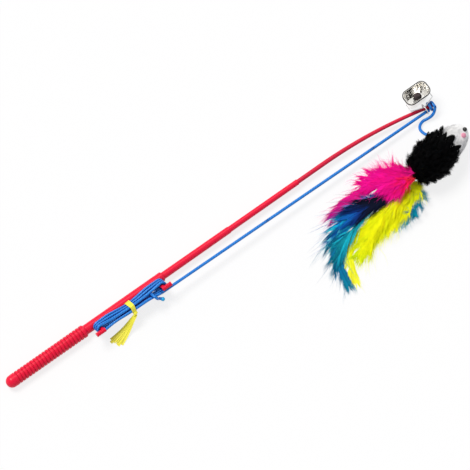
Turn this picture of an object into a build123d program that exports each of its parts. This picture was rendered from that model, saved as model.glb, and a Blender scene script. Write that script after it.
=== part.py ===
from build123d import *
import os
from math import cos, degrees, pi, radians, sin, sqrt, tan

os.makedirs("parts", exist_ok=True)

# A cat teaser wand that lies on a table. Lengths are millimetres.
# X runs along the wand from butt to tip, Z is up, and the origin is the middle of the ribbed grip.

# Gaps
seat_gap = 0.3  # between a soft or loose piece and what carries it
slide_gap = 0.06  # radial, between a sliding section and its tube
press_gap = 0.02  # radial, round a piece that is pushed in
stop_gap = 0.1  # between a section's stop and its shoulder when pulled out

# Handle
grip_diameter = 12.0
rib_count = 23
rib_pitch = 3.4
rib_groove_width = 1.3
rib_groove_depth = 0.7
shoulder_length = 1.6
tube_diameter = 9.3
mouth_x = 127.0
mouth_chamfer = 0.8
cap_diameter = 11.8
cap_land = 2.0
cap_plug_length = 9.0

# Telescopic sections
guide_length = 6.0
stop_length = 4.0
stop_step = 0.32  # a stop is this much wider than its section, on the diameter
stop_clear = 0.06
lower_diameter = 6.85
lower_mouth_diameter = 6.45
lower_mouth_x = 201.0
middle_diameter = 5.55
middle_mouth_diameter = 5.3
middle_mouth_x = 277.6
tip_diameter = 4.3
tip_end_diameter = 3.1
tip_straight = 28.4  # straight length outside the middle section
tip_bend_radius = 468.0
tip_end_x = 419.5

# Cleats
cleat_angle = 42.0  # how far the posts lean up from the side of the handle, in degrees
post_diameter = 3.6
cleat_inset = 8.0  # of the upper post from the mouth
cleat_span = 67.5
horn_diameter = 4.2
horn_length = 9.6
horn_rib_count = 5
horn_groove_depth = 0.25

# Cord
cord_diameter = 2.8
hank_turns = 3
hank_pitch = 3.3  # from one turn to the next, along the posts
hank_lift = 0.9  # how much the hank stands off the handle at its waist
waist_x = 85.0
waist_half = 1.65  # from the hank's middle to a strand, at the waist
run_end = (410.3, -15.2, 0.0)
run_lower_share = 0.40
run_middle_share = 0.40
stub_points = [(109.4, -15.3, 5.6), (111.4, -16.9, 5.2), (113.0, -18.4, 4.4)]
drop_points = [
    (418.6, -17.0, 3.4),
    (418.2, -20.2, 2.4),
    (415.0, -23.0, 0.2),
    (409.6, -23.6, -2.4),
    (403.8, -21.8, -3.4),
    (398.8, -23.6, -2.4),
    (396.6, -28.2, 1.2),
    (397.2, -34.2, 5.6),
    (399.0, -39.9, 9.9),
]

# Tip hitch
wrap_turns = 1.5
wrap_pitch = 3.3
wrap_start_x = 415.0

# Tie
tie_width = 4.6
tie_thickness = 0.6
tie_knot_size = 4.0
tie_knot_stand = 2.1  # from the band to the knot's middle
tail_start_width = 3.4
tail_end_width = 12.0
tail_thickness = 0.9
tail_end_x = 55.8
tail_end_y = -25.2
tail_turn = 233.7  # the way the tails point on the table, in degrees

# Bell
bell_back = 9.1  # from the rod's end to the bell's middle
bell_side = 12.1  # from the rod to the bell's middle
bell_height = 21.8
bell_wall = 0.8
crown_width = 17.0
crown_depth = 10.0
crown_radius = 3.6
bell_mouth_width = 25.0
bell_mouth_depth = 15.0
bell_mouth_radius = 5.6
bell_stand = 0.1  # over the table
bail_wire = 0.8
bail_rise = 4.9  # of the bail over the rod's axis
bail_stand = 1.0  # between the bell's end and an arm
bail_apex_half = 1.4
pin_reach = 0.4  # of a pin past the inside of the wall
pin_gap = 0.06
ring_wire = 1.0
ring_radius = 4.8
ring_side = 1.2  # of the ring's middle from the rod's axis, toward the cord
ring_rise = 1.5
staple_wire = 1.0
staple_span = 6.0
staple_height = 3.2
eye_wire = 0.8
eye_radius = 1.35
clapper_diameter = 7.4
clapper_length = 8.0
clapper_edge = 1.2
clapper_reach = 9.6
clapper_lean = 9.0  # toward the rod, in degrees

# Mouse
mouse_turn = 9.0  # of its axis from the wand's, in degrees
body_rear_x = 361.0
body_rear_y = -61.0
body_rear_length = 24.0
body_front_length = 28.0
body_radius = 17.0
core_radius = 12.0
core_length = 38.0
head_middle = 46.0  # from the body's rear to the head's widest place
head_rear_length = 12.0
head_front_length = 23.0
head_radius = 13.6
head_drop = 2.6  # of the head's axis under the body's
eye_diameter = 4.2
eye_place_share = 0.81  # along the front of the head
eye_turn = 17.5  # from the head's upper and lower sides, in degrees
nose_diameter = 4.6
nose_place_share = 0.59
nose_turn = 33.0
binding_diameter = 6.0
binding_reach = 9.0  # behind the body

# Feathers, from the lowest up: width, then middle and tip from the quills' root
feather_thickness = 0.8
feather_pitch = 1.15
quill_width = 1.6
fan_slope = 8.6  # down from the root, in degrees
fan_length = 100.0
feather_shares = {
    "feather_teal_fringe": (0.11, (-0.05, -0.155), (-0.25, -0.185)),
    "feather_yellow_long": (0.09, (-0.56, -0.085), (-0.89, -0.50)),
    "feather_yellow_marabou": (0.24, (-0.16, -0.09), (-0.48, -0.145)),
    "feather_pink_flat": (0.09, (-0.33, 0.25), (-0.68, 0.19)),
    "feather_teal_long": (0.13, (-0.66, 0.015), (-0.97, -0.475)),
    "feather_navy": (0.16, (-0.29, 0.115), (-0.61, 0.025)),
    "feather_pink_marabou": (0.24, (-0.19, 0.22), (-0.47, 0.29)),
}

# Worked out
table_z = -grip_diameter / 2
upper_post_x = mouth_x - cleat_inset
lower_post_x = upper_post_x - cleat_span
grip_length = rib_count * rib_pitch
grip_end_x = grip_length / 2
cord_radius = cord_diameter / 2
out_y = -cos(radians(cleat_angle))
out_z = sin(radians(cleat_angle))
stop_bore = lower_diameter + stop_step + 2 * stop_clear


def turned(points):
    """Turns a closed outline of places along X and radii about the wand's axis."""
    with BuildSketch(Plane.XY) as outline:
        with BuildLine():
            Polyline(*points, close=True)
        make_face()
    revolve(outline.sketch, axis=Axis.X)


def ribs(start_x, count, pitch, radius, groove_width, groove_depth):
    """The outline of ribs with flat crests and slanted grooves, from a crest to a crest."""
    points = [(start_x, radius)]
    for number in range(1, count):
        middle = start_x + number * pitch
        points += [
            (middle - groove_width / 2, radius),
            (middle - groove_width / 4, radius - groove_depth),
            (middle + groove_width / 4, radius - groove_depth),
            (middle + groove_width / 2, radius),
        ]
    return points + [(start_x + count * pitch, radius)]


def smooth_to(start, start_way, end, end_way):
    """Draws two tangent arcs, or a line, from one point and direction to another."""
    start, end = Vector(*start), Vector(*end)
    start_way, end_way = Vector(*start_way).normalized(), Vector(*end_way).normalized()
    step = end - start
    if step.cross(start_way).length < 1e-6:
        Line(start, end)
        return
    ways = start_way + end_way
    spread = 2 * (1 - start_way.dot(end_way))
    if spread < 1e-6:
        reach = step.dot(step) / (4 * step.dot(start_way))
    else:
        across = step.dot(ways)
        reach = (-across + sqrt(across**2 + spread * step.dot(step))) / spread
    first, last = start + start_way * reach, end - end_way * reach
    joint = (first + last) * 0.5
    TangentArc(start, joint, tangent=start_way)
    TangentArc(joint, end, tangent=last - joint)


def tube_along(line, diameter):
    """Sweeps a round section along a line of the open part."""
    with BuildSketch(Plane(origin=line @ 0, z_dir=line % 0)) as section:
        Circle(diameter / 2)
    sweep(section.sketch, path=line)


def cord_radii(points):
    """The largest arc at each corner of a cord that its two runs allow."""
    radii = []
    for before, here, after in zip(points, points[1:], points[2:]):
        into, out = Vector(*here) - Vector(*before), Vector(*after) - Vector(*here)
        turn = radians(into.get_angle(out))
        radii.append(0.45 * min(into.length, out.length) / tan(turn / 2))
    return radii


def write(node, name):
    node.part.label = name
    export_step(node.part, f"parts/{name}.step")


# The handle is a hollow moulding with a ribbed grip, a smooth tube and two cleats.
tube_radius = tube_diameter / 2
deep_radius = stop_bore / 2
guide_radius = lower_diameter / 2 + slide_gap
horn_distance = (
    tube_radius + seat_gap + (hank_turns - 1) * hank_pitch + cord_diameter + hank_lift
    + seat_gap + horn_diameter / 2
)
with BuildPart() as handle:
    turned(
        ribs(-grip_end_x, rib_count, rib_pitch, grip_diameter / 2, rib_groove_width, rib_groove_depth)
        + [
            (grip_end_x + shoulder_length, tube_radius),
            (mouth_x - mouth_chamfer, tube_radius),
            (mouth_x, tube_radius - mouth_chamfer),
            (mouth_x, guide_radius),
            (mouth_x - guide_length, guide_radius),
            (mouth_x - guide_length, deep_radius),
            (-grip_end_x, deep_radius),
        ]
    )
    post_root = (tube_radius + deep_radius) / 2
    for post_x, way in ((lower_post_x, -1), (upper_post_x, 1)):
        root = Plane(
            origin=(post_x, post_root * out_y, post_root * out_z),
            x_dir=(1, 0, 0),
            z_dir=(0, out_y, out_z),
        )
        with BuildSketch(root):
            Circle(post_diameter / 2)
        extrude(amount=horn_distance - post_root)
        horn_start = -post_diameter / 2
        horn_pitch = horn_length / horn_rib_count
        horn_line = ribs(
            horn_start, horn_rib_count, horn_pitch, horn_diameter / 2, horn_pitch / 2, horn_groove_depth
        )
        horn_plane = Plane(
            origin=(post_x, horn_distance * out_y, horn_distance * out_z),
            x_dir=(way, 0, 0),
            z_dir=(0, -out_z, out_y),
        )
        with BuildSketch(horn_plane):
            with BuildLine():
                Polyline((horn_start, 0), *horn_line, (horn_start + horn_length, 0), close=True)
            make_face()
        revolve(axis=Axis(horn_plane.origin, horn_plane.x_dir))
write(handle, "handle")

# The cap closes the butt with a dome and a plug.
with BuildPart() as butt_cap:
    cap_radius = cap_diameter / 2
    plug_radius = deep_radius - press_gap
    with BuildSketch(Plane.XY):
        with BuildLine():
            dome = CenterArc((-grip_end_x - cap_land, 0), cap_radius, 90, 90)
            Polyline(
                dome @ 0,
                (-grip_end_x, cap_radius),
                (-grip_end_x, plug_radius),
                (-grip_end_x + cap_plug_length, plug_radius),
                (-grip_end_x + cap_plug_length, 0),
                dome @ 1,
            )
        make_face()
    revolve(axis=Axis.X)
write(butt_cap, "butt_cap")


def section_outline(mouth_before, mouth, diameter, mouth_diameter, bore):
    """The outline of a tube with a stop at its inner end and a guide for the next one in its mouth."""
    shoulder = mouth_before - guide_length - stop_gap
    inner_end = shoulder - stop_length
    wide = diameter / 2 + stop_step / 2
    wide_bore = bore / 2 + stop_step / 2 + stop_clear
    return [
        (inner_end, wide),
        (shoulder, wide),
        (shoulder, diameter / 2),
        (mouth_before, diameter / 2),
        (mouth, mouth_diameter / 2),
        (mouth, bore / 2 + slide_gap),
        (mouth - guide_length, bore / 2 + slide_gap),
        (mouth - guide_length, wide_bore),
        (inner_end, wide_bore),
    ]


with BuildPart() as rod_section_lower:
    turned(section_outline(mouth_x, lower_mouth_x, lower_diameter, lower_mouth_diameter, middle_diameter))
write(rod_section_lower, "rod_section_lower")

with BuildPart() as rod_section_middle:
    turned(
        section_outline(
            lower_mouth_x, middle_mouth_x, middle_diameter, middle_mouth_diameter, tip_diameter
        )
    )
write(rod_section_middle, "rod_section_middle")

# The tip is solid. It is straight where it slides, and the cord bends the rest toward its own side.
tip_shoulder = middle_mouth_x - guide_length - stop_gap
bend_start_x = middle_mouth_x + tip_straight
tip_bend = degrees((tip_end_x - bend_start_x) / tip_bend_radius)
with BuildPart() as rod_tip:
    turned(
        [
            (tip_shoulder - stop_length, 0),
            (tip_shoulder - stop_length, tip_diameter / 2 + stop_step / 2),
            (tip_shoulder, tip_diameter / 2 + stop_step / 2),
            (tip_shoulder, tip_diameter / 2),
            (bend_start_x, tip_diameter / 2),
            (bend_start_x, 0),
        ]
    )
    with BuildLine() as tip_line:
        bend = JernArc((bend_start_x, 0), (1, 0), tip_bend_radius, -tip_bend)
    with BuildSketch(Plane(origin=bend @ 0, z_dir=bend % 0)):
        Circle(tip_diameter / 2)
    with BuildSketch(Plane(origin=bend @ 1, z_dir=bend % 1)):
        Circle(tip_end_diameter / 2)
    sweep(path=bend, multisection=True)
write(rod_tip, "rod_tip")
tip_end, tip_way = bend @ 1, bend % 1


# The hank is one cord wound round both posts, drawn in where it is tied.
post_turn = post_diameter / 2 + seat_gap + cord_radius
first_level = tube_radius + seat_gap + cord_radius


def hank_point(x, across, level):
    """A place in the hank: along the wand, across the posts and out along them."""
    return (x, across * out_z + level * out_y, -across * out_y + level * out_z)


with BuildPart() as cord_hank:
    ahead, back = Vector(1, 0, 0), Vector(-1, 0, 0)
    across_way = Vector(*hank_point(0, 1, 0))
    stations = [(hank_point(upper_post_x - cord_diameter, -post_turn, first_level), ahead)]
    for turn in range(hank_turns):
        level = first_level + turn * hank_pitch
        stations += [
            (hank_point(upper_post_x, -post_turn, level), ahead),
            (hank_point(upper_post_x + post_turn, 0, level), across_way),
            (hank_point(upper_post_x, post_turn, level), back),
            (hank_point(waist_x, waist_half, level + hank_lift), back),
            (hank_point(lower_post_x, post_turn, level), back),
            (hank_point(lower_post_x - post_turn, 0, level), -across_way),
            (hank_point(lower_post_x, -post_turn, level), ahead),
            (hank_point(waist_x, -waist_half, level + hank_pitch / 2 + hank_lift), ahead),
        ]
    leaving = hank_point(upper_post_x - post_diameter, -post_turn, level + hank_pitch)
    stations.append((leaving, ahead))
    with BuildLine() as hank_line:
        for (start, start_way), (end, end_way) in zip(stations, stations[1:]):
            smooth_to(start, start_way, end, end_way)
    tube_along(hank_line.wire(), cord_diameter)
write(cord_hank, "cord_hank")
hank_path = hank_line.wire()
hank_length = hank_path.length
sample_count = 900
hank_samples = [hank_path @ (number / sample_count) for number in range(sample_count + 1)]
near_count = int(sample_count * 4 * cord_diameter / hank_length)
hank_gap = -cord_diameter + min(
    (here - there).length
    for number, here in enumerate(hank_samples)
    for there in hank_samples[number + near_count :]
)
hank_volume = pi * cord_radius**2 * hank_length
print("hank length", round(hank_length, 1), "gap", round(hank_gap, 3))
print("hank volume", round(cord_hank.part.volume, 1), "section times length", round(hank_volume, 1))

# The cut end of the cord stands out beside the upper cleat.
with BuildPart() as cord_stub:
    with BuildLine() as stub_line:
        FilletPolyline(*stub_points, radius=cord_radii(stub_points))
    tube_along(stub_line.wire(), cord_diameter)
write(cord_stub, "cord_stub")

# The taut cord runs straight from the hank to the tip, in one stretch for each sliding section.
run_start = Vector(*leaving) + ahead * seat_gap
run_way = Vector(*run_end) - run_start
run_shares = [0, run_lower_share, run_lower_share + run_middle_share, 1]
run_names = ["cord_run_lower", "cord_run_middle", "cord_run_tip"]
for name, start_share, end_share in zip(run_names, run_shares, run_shares[1:]):
    with BuildPart() as cord_run:
        with BuildLine() as run_line:
            Line(run_start + run_way * start_share, run_start + run_way * end_share)
        tube_along(run_line.wire(), cord_diameter)
    write(cord_run, name)

# The cord is hitched round the rod's tip.
wrap_radius = tip_end_diameter / 2 + seat_gap + cord_radius
wrap_side = Vector(-tip_way.Y, tip_way.X, 0)
wrap_up = Vector(0, 0, 1)
wrap_base = tip_end - tip_way * ((tip_end_x - wrap_start_x) / tip_way.X)


def wrap_station(turn):
    """A place and direction on the hitch, counted in turns from under the rod."""
    angle = radians(360 * turn - 90)
    place = wrap_base + tip_way * (wrap_pitch * turn)
    place += wrap_side * (wrap_radius * cos(angle)) + wrap_up * (wrap_radius * sin(angle))
    around = wrap_up * cos(angle) - wrap_side * sin(angle)
    return place, around * (2 * pi * wrap_radius) + tip_way * wrap_pitch


with BuildPart() as cord_tip_wrap:
    quarter_turns = int(4 * wrap_turns)
    wrap_stations = [(Vector(*run_end) + Vector(seat_gap, 0, 0), run_way)]
    wrap_stations += [wrap_station(number / 4) for number in range(-1, quarter_turns + 1)]
    drop_way = (Vector(*drop_points[1]) - Vector(*drop_points[0])).normalized()
    wrap_stations.append((Vector(*drop_points[0]) - drop_way * seat_gap, drop_way))
    with BuildLine() as wrap_line:
        for (start, start_way), (end, end_way) in zip(wrap_stations, wrap_stations[1:]):
            smooth_to(start, start_way, end, end_way)
    tube_along(wrap_line.wire(), cord_diameter)
write(cord_tip_wrap, "cord_tip_wrap")

# The slack cord falls from the hitch to the toy's back.
with BuildPart() as cord_drop:
    with BuildLine() as drop_line:
        FilletPolyline(*drop_points, radius=cord_radii(drop_points))
    tube_along(drop_line.wire(), cord_diameter)
write(cord_drop, "cord_drop")
print("drop radii", [round(r, 1) for r in cord_radii(drop_points)])
print("drop length", round(drop_line.wire().length, 1))
drop_volume = pi * cord_radius**2 * drop_line.wire().length
print("drop volume", round(cord_drop.part.volume, 1), "section times length", round(drop_volume, 1))

# A yellow tie gathers the hank at its waist. Its knot sits on the band, and its tails fan out on the table.
band_half = waist_half + cord_radius + seat_gap
band_inner = first_level + hank_lift - cord_radius - seat_gap
band_outer = first_level + (hank_turns - 0.5) * hank_pitch + hank_lift + cord_radius + seat_gap
band_plane = Plane(
    origin=hank_point(waist_x - tie_width / 2, 0, (band_inner + band_outer) / 2),
    x_dir=(0, out_y, out_z),
    z_dir=(1, 0, 0),
)
with BuildPart() as tie_band:
    with BuildSketch(band_plane):
        inside = (band_outer - band_inner, 2 * band_half)
        RectangleRounded(inside[0] + 2 * tie_thickness, inside[1] + 2 * tie_thickness, band_half / 2)
        RectangleRounded(*inside, band_half / 2 - tie_thickness, mode=Mode.SUBTRACT)
    extrude(amount=tie_width)
write(tie_band, "tie_band")

knot_place = Vector(*hank_point(waist_x, -band_half - tie_thickness - tie_knot_stand, band_outer))
tail_way = (cos(radians(tail_turn)), sin(radians(tail_turn)), 0)
with BuildPart() as tie_tails:
    with BuildSketch(Plane(origin=knot_place, x_dir=(-tail_way[1], tail_way[0], 0), z_dir=tail_way)):
        RectangleRounded(tail_start_width, tie_knot_size, tail_start_width / 4)
    tail_height = table_z + tail_thickness
    with BuildSketch(
        Plane(
            origin=(tail_end_x, tail_end_y, tail_height),
            x_dir=(-tail_way[1], tail_way[0], 0),
            z_dir=tail_way,
        )
    ):
        RectangleRounded(tail_end_width, tail_thickness, tail_thickness / 4)
    loft()
write(tie_tails, "tie_tails")

# The bell stands mouth up beside the tip. Its sides open from the crown to the mouth.
bell_x = tip_end_x - bell_back
rod_y = sqrt(tip_bend_radius**2 - (bell_x - bend_start_x) ** 2) - tip_bend_radius
bell_y = rod_y + bell_side
crown_z = table_z + bell_stand
bell_mouth_z = crown_z + bell_height
bail_z = bail_rise


def bell_section(height, inset):
    """The bell's rounded section at a height over its crown."""
    share = height / bell_height
    width = crown_width + (bell_mouth_width - crown_width) * share - 2 * inset
    depth = crown_depth + (bell_mouth_depth - crown_depth) * share - 2 * inset
    radius = crown_radius + (bell_mouth_radius - crown_radius) * share - inset
    with BuildSketch(Plane((bell_x, bell_y, crown_z + height))) as section:
        RectangleRounded(width, depth, radius)
    return section.sketch


with BuildPart() as bell_shell:
    loft([bell_section(0, 0), bell_section(bell_height, 0)], ruled=True)
    inside = [bell_section(bell_wall, bell_wall), bell_section(bell_height, bell_wall)]
    loft(inside, ruled=True, mode=Mode.SUBTRACT)
    with BuildSketch(Plane((bell_x, bell_y, bail_z), x_dir=(0, 1, 0), z_dir=(1, 0, 0))):
        Circle(bail_wire / 2 + pin_gap)
    extrude(amount=bell_mouth_width, both=True, mode=Mode.SUBTRACT)
write(bell_shell, "bell_shell")

# The bail is one wire: two pins in the bell's ends and two arms that meet over the rod.
pivot_share = (bail_z - crown_z) / bell_height
bell_half = (crown_width + (bell_mouth_width - crown_width) * pivot_share) / 2
arm_half = bell_half + bail_stand + bail_wire / 2
pin_half = bell_half - bell_wall - pin_reach
knee_y = bell_y - bell_mouth_depth / 2 - bail_wire
with BuildPart() as bell_bail:
    bail_points = [
        (bell_x - pin_half, bell_y, bail_z),
        (bell_x - arm_half, bell_y, bail_z),
        (bell_x - arm_half, knee_y, bail_z),
        (bell_x - bail_apex_half, rod_y, bail_z),
        (bell_x + bail_apex_half, rod_y, bail_z),
        (bell_x + arm_half, knee_y, bail_z),
        (bell_x + arm_half, bell_y, bail_z),
        (bell_x + pin_half, bell_y, bail_z),
    ]
    with BuildLine() as bail_line:
        FilletPolyline(*bail_points, radius=bail_wire)
    tube_along(bail_line.wire(), bail_wire)
write(bell_bail, "bell_bail")

# A ring round the rod's tip and the cord holds the bail.
ring_middle = (bell_x, rod_y - ring_side, ring_rise)
with BuildPart() as bell_ring:
    with BuildSketch(Plane(ring_middle)):
        with Locations((0, ring_radius)):
            Circle(ring_wire / 2)
    revolve(axis=Axis(ring_middle, (1, 0, 0)))
write(bell_ring, "bell_ring")

# A staple on the bell's floor carries the clapper.
floor_z = crown_z + bell_wall
staple_z = floor_z + staple_height
with BuildPart() as clapper_staple:
    with BuildLine() as staple_line:
        FilletPolyline(
            (bell_x - staple_span / 2, bell_y, floor_z),
            (bell_x - staple_span / 2, bell_y, staple_z),
            (bell_x + staple_span / 2, bell_y, staple_z),
            (bell_x + staple_span / 2, bell_y, floor_z),
            radius=staple_wire,
        )
    tube_along(staple_line.wire(), staple_wire)
write(clapper_staple, "clapper_staple")

lean_way = (0, -sin(radians(clapper_lean)), cos(radians(clapper_lean)))
with BuildPart() as clapper:
    clapper_plane = Plane((bell_x, bell_y, staple_z), x_dir=(1, 0, 0), z_dir=lean_way)
    weight_start = clapper_reach - clapper_length / 2
    with BuildSketch(clapper_plane.offset(weight_start)):
        Circle(clapper_diameter / 2)
    extrude(amount=clapper_length)
    fillet(clapper.edges().filter_by(GeomType.CIRCLE), clapper_edge)
    with BuildSketch(clapper_plane.offset(eye_radius)):
        Circle(eye_wire / 2)
    extrude(amount=weight_start - eye_radius)
    with BuildSketch(Plane((bell_x, bell_y, staple_z), x_dir=(1, 0, 0), z_dir=(0, 0, 1))):
        with Locations((0, eye_radius)):
            Circle(eye_wire / 2)
    revolve(axis=Axis((bell_x, bell_y, staple_z), (1, 0, 0)))
write(clapper, "clapper")

# The mouse lies on its side. Its body and head swell and taper along one axis.
mouse_way = Vector(cos(radians(mouse_turn)), sin(radians(mouse_turn)), 0)
mouse_side = Vector(-sin(radians(mouse_turn)), cos(radians(mouse_turn)), 0)
body_z = table_z + body_radius
head_z = body_z - head_drop
body_rear = Vector(body_rear_x, body_rear_y, body_z)


def mouse_place(along, across, up):
    """A place on the mouse: along its axis, to its back and over the body's axis."""
    return body_rear + mouse_way * along + mouse_side * across + Vector(0, 0, up)


def egg(middle, rear_length, front_length, radius, mode=Mode.ADD):
    """An egg on the mouse's axis, widest at its middle."""
    plane = Plane(origin=middle, x_dir=mouse_way, z_dir=(0, 0, 1))
    with BuildSketch(plane) as half:
        with BuildLine():
            EllipticalCenterArc((0, 0), front_length, radius, 0, arc_size=90)
            EllipticalCenterArc((0, 0), rear_length, radius, 90, arc_size=90)
            Line((-rear_length, 0), (front_length, 0))
        make_face()
    revolve(half.sketch, axis=Axis(plane.origin, plane.x_dir), mode=mode)


def head_place(along_share, turn, side=1):
    """A place on the head's front: a share of its length, and an angle from its upper or lower side."""
    radius = head_radius * sqrt(1 - along_share**2)
    along = head_middle + head_front_length * along_share
    across = -radius * sin(radians(turn))
    return mouse_place(along, across, side * radius * cos(radians(turn)) - head_drop)


body_middle = mouse_place(body_rear_length, 0, 0)
core_middle = body_middle
with BuildPart() as mouse_core:
    egg(core_middle, core_length / 2, core_length / 2, core_radius)
write(mouse_core, "mouse_core")

with BuildPart() as mouse_body:
    egg(body_middle, body_rear_length, body_front_length, body_radius)
    hollow = core_length / 2 + seat_gap
    egg(core_middle, hollow, hollow, core_radius + seat_gap, mode=Mode.SUBTRACT)
write(mouse_body, "mouse_body")

with BuildPart() as mouse_head:
    egg(mouse_place(head_middle, 0, -head_drop), head_rear_length, head_front_length, head_radius)
    egg(
        body_middle,
        body_rear_length + seat_gap,
        body_front_length + seat_gap,
        body_radius + seat_gap,
        mode=Mode.SUBTRACT,
    )
    for side in (1, -1):
        with Locations(head_place(eye_place_share, eye_turn, side)):
            Sphere(eye_diameter / 2 + press_gap, mode=Mode.SUBTRACT)
    with Locations(head_place(nose_place_share, nose_turn)):
        Sphere(nose_diameter / 2 + press_gap, mode=Mode.SUBTRACT)
write(mouse_head, "mouse_head")

with BuildPart() as mouse_eyes:
    for side in (1, -1):
        with Locations(head_place(eye_place_share, eye_turn, side)):
            Sphere(eye_diameter / 2)
write(mouse_eyes, "mouse_eyes")

with BuildPart() as mouse_nose:
    with Locations(head_place(nose_place_share, nose_turn)):
        Sphere(nose_diameter / 2)
write(mouse_nose, "mouse_nose")

# Thread binds the quills behind the mouse.
with BuildPart() as tail_binding:
    with BuildLine() as binding_line:
        Line(mouse_place(-seat_gap, 0, 0), mouse_place(-binding_reach, 0, 0))
    tube_along(binding_line.wire(), binding_diameter)
write(tail_binding, "tail_binding")

# Each feather is a thin leaf. They lie over each other and slope from the binding down to the table.
slope_way = Vector(cos(radians(fan_slope)), 0, sin(radians(fan_slope)))
slope_up = Vector(-sin(radians(fan_slope)), 0, cos(radians(fan_slope)))
quill_root = mouse_place(-binding_reach - quill_width / 2, 0, 0)
for number, (name, (width_share, middle_share, tip_share)) in enumerate(feather_shares.items()):
    middle, tip = Vector(*middle_share) * fan_length, Vector(*tip_share) * fan_length
    along = tip.normalized()
    side = Vector(-along.Y, along.X)
    quill, half = side * (quill_width / 2), side * (width_share * fan_length / 2)
    level = (number - len(feather_shares) / 2) * feather_pitch
    with BuildPart() as feather:
        with BuildSketch(Plane(quill_root + slope_up * level, x_dir=slope_way, z_dir=slope_up)):
            with BuildLine():
                ThreePointArc(quill, middle + half, tip)
                ThreePointArc(-quill, middle - half, tip)
                Line(-quill, quill)
            make_face()
        extrude(amount=feather_thickness)
    write(feather, name)
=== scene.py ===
from collections import namedtuple
from functools import partial

import bpy
import numpy as np
from mathutils import Matrix


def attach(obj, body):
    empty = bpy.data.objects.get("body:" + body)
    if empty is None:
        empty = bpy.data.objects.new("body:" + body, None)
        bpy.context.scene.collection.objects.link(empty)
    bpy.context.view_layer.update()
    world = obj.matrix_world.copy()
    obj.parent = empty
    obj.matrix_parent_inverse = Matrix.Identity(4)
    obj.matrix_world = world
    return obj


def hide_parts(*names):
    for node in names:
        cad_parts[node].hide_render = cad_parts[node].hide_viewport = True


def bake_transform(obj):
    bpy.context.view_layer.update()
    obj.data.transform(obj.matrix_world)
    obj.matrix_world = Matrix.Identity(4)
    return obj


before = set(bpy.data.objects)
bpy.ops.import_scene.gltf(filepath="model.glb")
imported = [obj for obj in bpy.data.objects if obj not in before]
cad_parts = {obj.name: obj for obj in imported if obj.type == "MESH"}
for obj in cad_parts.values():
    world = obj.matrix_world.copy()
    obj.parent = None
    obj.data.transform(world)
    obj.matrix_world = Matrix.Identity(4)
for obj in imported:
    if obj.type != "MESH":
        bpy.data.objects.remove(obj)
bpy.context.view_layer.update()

bl_info = {
    "name": "Cat teaser wand",
    "version": (1, 0, 0),
    "blender": (4, 5, 0),
    "location": "View3D > Sidebar > Wand",
    "description": "Dresses the packed cat teaser wand: rod, elastic cord, bell, fur mouse and feathers",
    "category": "Object",
}

MM = 0.001
TABLE = -6.0
UP = np.array([0.0, 0.0, 1.0])
WAND_WAY = np.array([1.0, 0.0, 0.0])
# The photograph's ground directions: to the right of the picture, and away from the camera.
PICTURE_RIGHT = np.array([0.806, -0.592, 0.0])
PICTURE_AWAY = np.array([0.592, 0.806, 0.0])
PICTURE_TILT = np.radians(72.0)
PICTURE_MIDDLE = np.array([202.4, -7.2, 0.0])
PICTURE_WIDTH = 0.423
FLOOR_HALF = 3000.0
KEY_PLACE = (0.0, 0.0, 1.5)

# Smooth lines: points read from a spline for each of its control points.
SPLINE_STEPS = 8

# Cord: the cleats' posts stand on the handle, leaning out along POST_OUT.
CORD_DIAMETER = 0.0028
HANK_LENGTH, HITCH_LENGTH, DROP_LENGTH = 0.505, 0.041, 0.048
POST_OUT = np.array([0.0, -0.743, 0.669])
POST_ACROSS = np.array([0.0, 0.669, 0.743])
POST_LOW_X, POST_HIGH_X = 51.5, 119.0
POST_TURN = 3.5
HANK_TURNS = 3
HANK_FIRST = 6.35
HANK_PITCH = 3.3
HANK_START = (116.2, -3.5, HANK_FIRST)
HANK_LEAVE = (115.4, -3.5, HANK_FIRST + HANK_TURNS * HANK_PITCH)
# Between the posts: the places along the wand, the half width and rise at the tie, and how far each turn's
# two strands stand out from the middle beside the posts.
HANK_PLACES = (105.0, 91.0, 79.0, 65.5)
HANK_WAIST, HANK_RISE = 1.65, 0.9
HANK_NEAR, HANK_FAR = (3.9, 3.2, 1.9), (3.6, 2.7, 1.6)
# The cut end and its half knot over the strand that leaves: along the wand, across and out.
STUB_WAY = [
    (113.0, -9.04, 16.6), (111.4, -7.44, 16.0), (109.6, -6.3, 16.4), (108.5, -3.9, 19.8),
    (107.4, -1.0, 20.2), (106.7, 0.4, 17.4), (106.6, 0.5, 13.0), (107.4, 0.2, 8.6), (110.5, -1.6, 6.4),
]
RUN_START = np.array([115.7, -14.418, 8.272])
RUN_END = np.array([410.3, -15.2, 0.0])
RUN_SHARES = (0.0, 0.4, 0.8, 1.0)
# What the run keeps free of barbs: a place across the wand at the toy's pivot, its slope, and a margin.
CORD_FREE_Y, CORD_FREE_SLOPE, CORD_MARGIN, LURE_PIVOT_X = -17.1, 0.07, 3.0, 418.6
HITCH_BASE = np.array([413.891, -12.583, 0.0])
HITCH_WAY = np.array([0.9707, -0.2402, 0.0])
HITCH_SIDE = np.array([0.2402, 0.9707, 0.0])
HITCH_RADIUS = 3.25
HITCH_PITCH = 3.3
HITCH_START = (410.6, -15.2, 0.0)
DROP_WAY = [
    (418.6, -17.0, 3.4), (416.9, -19.0, 0.7), (412.9, -20.9, -1.4), (408.1, -20.4, -3.2),
    (403.3, -19.2, -4.1), (398.9, -20.8, -3.7), (395.9, -24.4, -1.6), (395.2, -29.7, 2.6),
    (396.4, -35.2, 6.6), (399.0, -39.9, 9.9),
]

# Tie: the band's place along the wand and out from the handle, the knot, and where the tails lead.
TIE_X, TIE_LEVEL = 85.0, 11.4
TIE_KNOT = np.array([85.0, -16.83, 7.01])
TIE_TAIL_END = np.array([55.8, -25.2, 0.0])
TIE_TAILS = 8

# Bell's mouth: half of its straight sides, the radius of its corners, and its middle.
MOUTH_STRAIGHT, MOUTH_CORNER = (6.9, 1.9), 5.45
MOUTH_MIDDLE = (410.4, 0.31, 15.5)

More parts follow.
